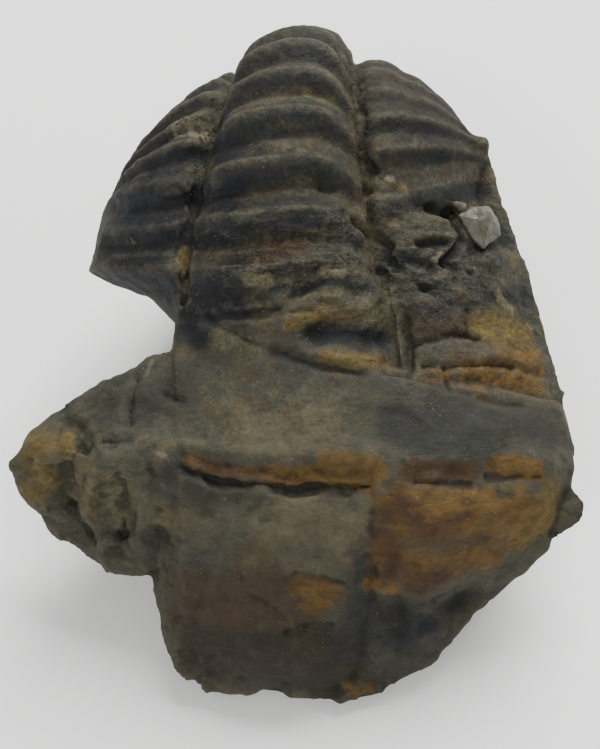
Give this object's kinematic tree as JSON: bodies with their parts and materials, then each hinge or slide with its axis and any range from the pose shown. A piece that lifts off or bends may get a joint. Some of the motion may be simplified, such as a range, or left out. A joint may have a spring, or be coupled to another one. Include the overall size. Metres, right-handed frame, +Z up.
{
  "type": "trilobite fossil",
  "caption": "Partly enrolled trilobite with ringed axis and ribbed sides, broken and still held in its rock matrix, lying on a flat base.",
  "frame": {"origin": "middle of the bounding box in plan, at the flat base", "axes": "+Z up, +Y from the broken head end to the tail along the length, +X to the side with the pale chip, right of the body seen from the head end"},
  "size_m": [0.0475, 0.0571, 0.0327],
  "materials": {
    "fossil_stone": "matte, grey to olive-brown limestone with ochre stains"
  },
  "bodies": {
    "root": {"trilobite_fossil": "fossil_stone"}
  },
  "joints": []
}
